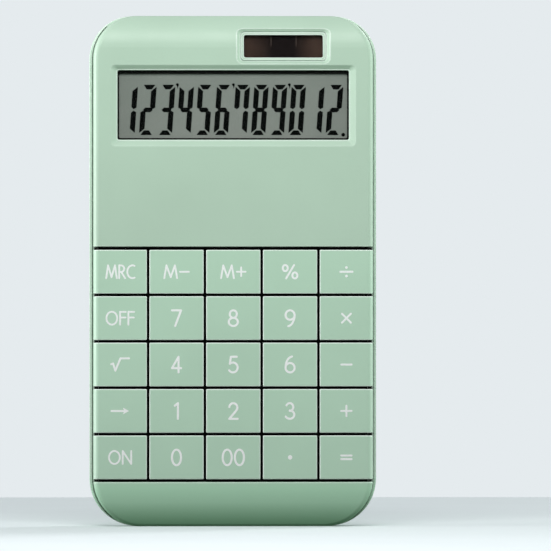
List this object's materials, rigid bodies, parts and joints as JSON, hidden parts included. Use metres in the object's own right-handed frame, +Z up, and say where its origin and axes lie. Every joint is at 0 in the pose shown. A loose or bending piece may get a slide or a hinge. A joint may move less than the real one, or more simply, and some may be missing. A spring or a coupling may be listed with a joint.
{
  "type": "electronic desk calculator",
  "caption": "Slim upright electronic calculator with a flush full-width keypad, large LCD, small solar cell and rolled ends.",
  "frame": {"origin": "under the middle of the lower end, at the bottom centre of the box, so the calculator stands on z = 0", "axes": "+Z up along the length towards the display end, -Y out of the face with the keys and the display, +Y out of the back with the feet, +X to the user's right"},
  "size_m": [0.09, 0.015, 0.16],
  "materials": {
    "case_mint": "satin moulded ABS, pale mint green",
    "key_mint": "satin moulded ABS, mint green with printed pale legends",
    "black_plastic": "matt black ABS",
    "black_foam": "black closed-cell foam",
    "keypad_rubber": "grey silicone rubber",
    "carbon": "conductive carbon pill",
    "circuit_board": "green solder mask",
    "epoxy": "black epoxy",
    "ceramic": "fired ceramic",
    "clear_lens": "clear acrylic",
    "polarizer": "grey polarising film",
    "display_glass": "thin soda-lime glass",
    "reflector": "matt reflector film",
    "zebra_rubber": "layered silicone and carbon",
    "solar_dark": "amorphous silicon on glass, dark brown",
    "cell_steel": "nickel-plated steel",
    "contact_metal": "plated spring steel",
    "screw_steel": "zinc-plated steel",
    "foot_rubber": "soft grey-green rubber",
    "wire_black": "PVC insulation",
    "wire_red": "PVC insulation"
  },
  "bodies": {
    "case": {"front_cover": "case_mint", "rear_case": "case_mint", "key_guide_frame": "black_plastic", "ledge_strips": "black_foam", "rubber_keypad": "keypad_rubber", "carbon_contacts": "carbon", "main_circuit_board": "circuit_board", "chip_blob": "epoxy", "chip_capacitors": "ceramic", "chip_resistors": "ceramic", "limiter_diodes": "epoxy", "lcd_window": "clear_lens", "lcd_holder": "black_plastic", "lcd_front_polarizer": "polarizer", "lcd_front_glass": "display_glass", "lcd_rear_glass": "display_glass", "lcd_reflector": "reflector", "zebra_strip": "zebra_rubber", "solar_window": "clear_lens", "solar_cell": "solar_dark", "button_cell": "cell_steel", "battery_contact_negative": "contact_metal", "battery_contact_positive": "contact_metal", "case_screws": "screw_steel", "frame_screws": "screw_steel", "board_screws": "screw_steel", "rubber_feet": "foot_rubber", "solar_lead_negative": "wire_black", "solar_lead_positive": "wire_red", "battery_lead_negative": "wire_black", "battery_lead_positive": "wire_red"},
    "battery_door": {"battery_door": "case_mint"},
    "key_on": {"key_on": "key_mint"},
    "key_0": {"key_0": "key_mint"},
    "key_00": {"key_00": "key_mint"},
    "key_point": {"key_point": "key_mint"},
    "key_equals": {"key_equals": "key_mint"},
    "key_backspace": {"key_backspace": "key_mint"},
    "key_1": {"key_1": "key_mint"},
    "key_2": {"key_2": "key_mint"},
    "key_3": {"key_3": "key_mint"},
    "key_plus": {"key_plus": "key_mint"},
    "key_root": {"key_root": "key_mint"},
    "key_4": {"key_4": "key_mint"},
    "key_5": {"key_5": "key_mint"},
    "key_6": {"key_6": "key_mint"},
    "key_minus": {"key_minus": "key_mint"},
    "key_off": {"key_off": "key_mint"},
    "key_7": {"key_7": "key_mint"},
    "key_8": {"key_8": "key_mint"},
    "key_9": {"key_9": "key_mint"},
    "key_multiply": {"key_multiply": "key_mint"},
    "key_mrc": {"key_mrc": "key_mint"},
    "key_m_minus": {"key_m_minus": "key_mint"},
    "key_m_plus": {"key_m_plus": "key_mint"},
    "key_percent": {"key_percent": "key_mint"},
    "key_divide": {"key_divide": "key_mint"}
  },
  "joints": [
    {"name": "key_on_press", "type": "slide", "parent": "case", "child": "key_on", "axis": [0, 1, 0], "range_m": [0, 0.001], "stiffness_N_per_m": 600, "deforming": ["rubber_keypad", "ledge_strips"]},
    {"name": "key_0_press", "type": "slide", "parent": "case", "child": "key_0", "axis": [0, 1, 0], "range_m": [0, 0.001], "stiffness_N_per_m": 600, "deforming": ["rubber_keypad"]},
    {"name": "key_00_press", "type": "slide", "parent": "case", "child": "key_00", "axis": [0, 1, 0], "range_m": [0, 0.001], "stiffness_N_per_m": 600, "deforming": ["rubber_keypad"]},
    {"name": "key_point_press", "type": "slide", "parent": "case", "child": "key_point", "axis": [0, 1, 0], "range_m": [0, 0.001], "stiffness_N_per_m": 600, "deforming": ["rubber_keypad"]},
    {"name": "key_equals_press", "type": "slide", "parent": "case", "child": "key_equals", "axis": [0, 1, 0], "range_m": [0, 0.001], "stiffness_N_per_m": 600, "deforming": ["rubber_keypad", "ledge_strips"]},
    {"name": "key_backspace_press", "type": "slide", "parent": "case", "child": "key_backspace", "axis": [0, 1, 0], "range_m": [0, 0.001], "stiffness_N_per_m": 600, "deforming": ["rubber_keypad", "ledge_strips"]},
    {"name": "key_1_press", "type": "slide", "parent": "case", "child": "key_1", "axis": [0, 1, 0], "range_m": [0, 0.001], "stiffness_N_per_m": 600, "deforming": ["rubber_keypad"]},
    {"name": "key_2_press", "type": "slide", "parent": "case", "child": "key_2", "axis": [0, 1, 0], "range_m": [0, 0.001], "stiffness_N_per_m": 600, "deforming": ["rubber_keypad"]},
    {"name": "key_3_press", "type": "slide", "parent": "case", "child": "key_3", "axis": [0, 1, 0], "range_m": [0, 0.001], "stiffness_N_per_m": 600, "deforming": ["rubber_keypad"]},
    {"name": "key_plus_press", "type": "slide", "parent": "case", "child": "key_plus", "axis": [0, 1, 0], "range_m": [0, 0.001], "stiffness_N_per_m": 600, "deforming": ["rubber_keypad", "ledge_strips"]},
    {"name": "key_root_press", "type": "slide", "parent": "case", "child": "key_root", "axis": [0, 1, 0], "range_m": [0, 0.001], "stiffness_N_per_m": 600, "deforming": ["rubber_keypad", "ledge_strips"]},
    {"name": "key_4_press", "type": "slide", "parent": "case", "child": "key_4", "axis": [0, 1, 0], "range_m": [0, 0.001], "stiffness_N_per_m": 600, "deforming": ["rubber_keypad"]},
    {"name": "key_5_press", "type": "slide", "parent": "case", "child": "key_5", "axis": [0, 1, 0], "range_m": [0, 0.001], "stiffness_N_per_m": 600, "deforming": ["rubber_keypad"]},
    {"name": "key_6_press", "type": "slide", "parent": "case", "child": "key_6", "axis": [0, 1, 0], "range_m": [0, 0.001], "stiffness_N_per_m": 600, "deforming": ["rubber_keypad"]},
    {"name": "key_minus_press", "type": "slide", "parent": "case", "child": "key_minus", "axis": [0, 1, 0], "range_m": [0, 0.001], "stiffness_N_per_m": 600, "deforming": ["rubber_keypad", "ledge_strips"]},
    {"name": "key_off_press", "type": "slide", "parent": "case", "child": "key_off", "axis": [0, 1, 0], "range_m": [0, 0.001], "stiffness_N_per_m": 600, "deforming": ["rubber_keypad", "ledge_strips"]},
    {"name": "key_7_press", "type": "slide", "parent": "case", "child": "key_7", "axis": [0, 1, 0], "range_m": [0, 0.001], "stiffness_N_per_m": 600, "deforming": ["rubber_keypad"]},
    {"name": "key_8_press", "type": "slide", "parent": "case", "child": "key_8", "axis": [0, 1, 0], "range_m": [0, 0.001], "stiffness_N_per_m": 600, "deforming": ["rubber_keypad"]},
    {"name": "key_9_press", "type": "slide", "parent": "case", "child": "key_9", "axis": [0, 1, 0], "range_m": [0, 0.001], "stiffness_N_per_m": 600, "deforming": ["rubber_keypad"]},
    {"name": "key_multiply_press", "type": "slide", "parent": "case", "child": "key_multiply", "axis": [0, 1, 0], "range_m": [0, 0.001], "stiffness_N_per_m": 600, "deforming": ["rubber_keypad", "ledge_strips"]},
    {"name": "key_mrc_press", "type": "slide", "parent": "case", "child": "key_mrc", "axis": [0, 1, 0], "range_m": [0, 0.001], "stiffness_N_per_m": 600, "deforming": ["rubber_keypad", "ledge_strips"]},
    {"name": "key_m_minus_press", "type": "slide", "parent": "case", "child": "key_m_minus", "axis": [0, 1, 0], "range_m": [0, 0.001], "stiffness_N_per_m": 600, "deforming": ["rubber_keypad"]},
    {"name": "key_m_plus_press", "type": "slide", "parent": "case", "child": "key_m_plus", "axis": [0, 1, 0], "range_m": [0, 0.001], "stiffness_N_per_m": 600, "deforming": ["rubber_keypad"]},
    {"name": "key_percent_press", "type": "slide", "parent": "case", "child": "key_percent", "axis": [0, 1, 0], "range_m": [0, 0.001], "stiffness_N_per_m": 600, "deforming": ["rubber_keypad"]},
    {"name": "key_divide_press", "type": "slide", "parent": "case", "child": "key_divide", "axis": [0, 1, 0], "range_m": [0, 0.001], "stiffness_N_per_m": 600, "deforming": ["rubber_keypad", "ledge_strips"]},
    {"name": "battery_door_swing", "type": "hinge", "parent": "case", "child": "battery_door", "pos_m": [0, 0.0067, 0.1244], "axis": [-1, 0, 0], "range_deg": [0, 70]}
  ]
}
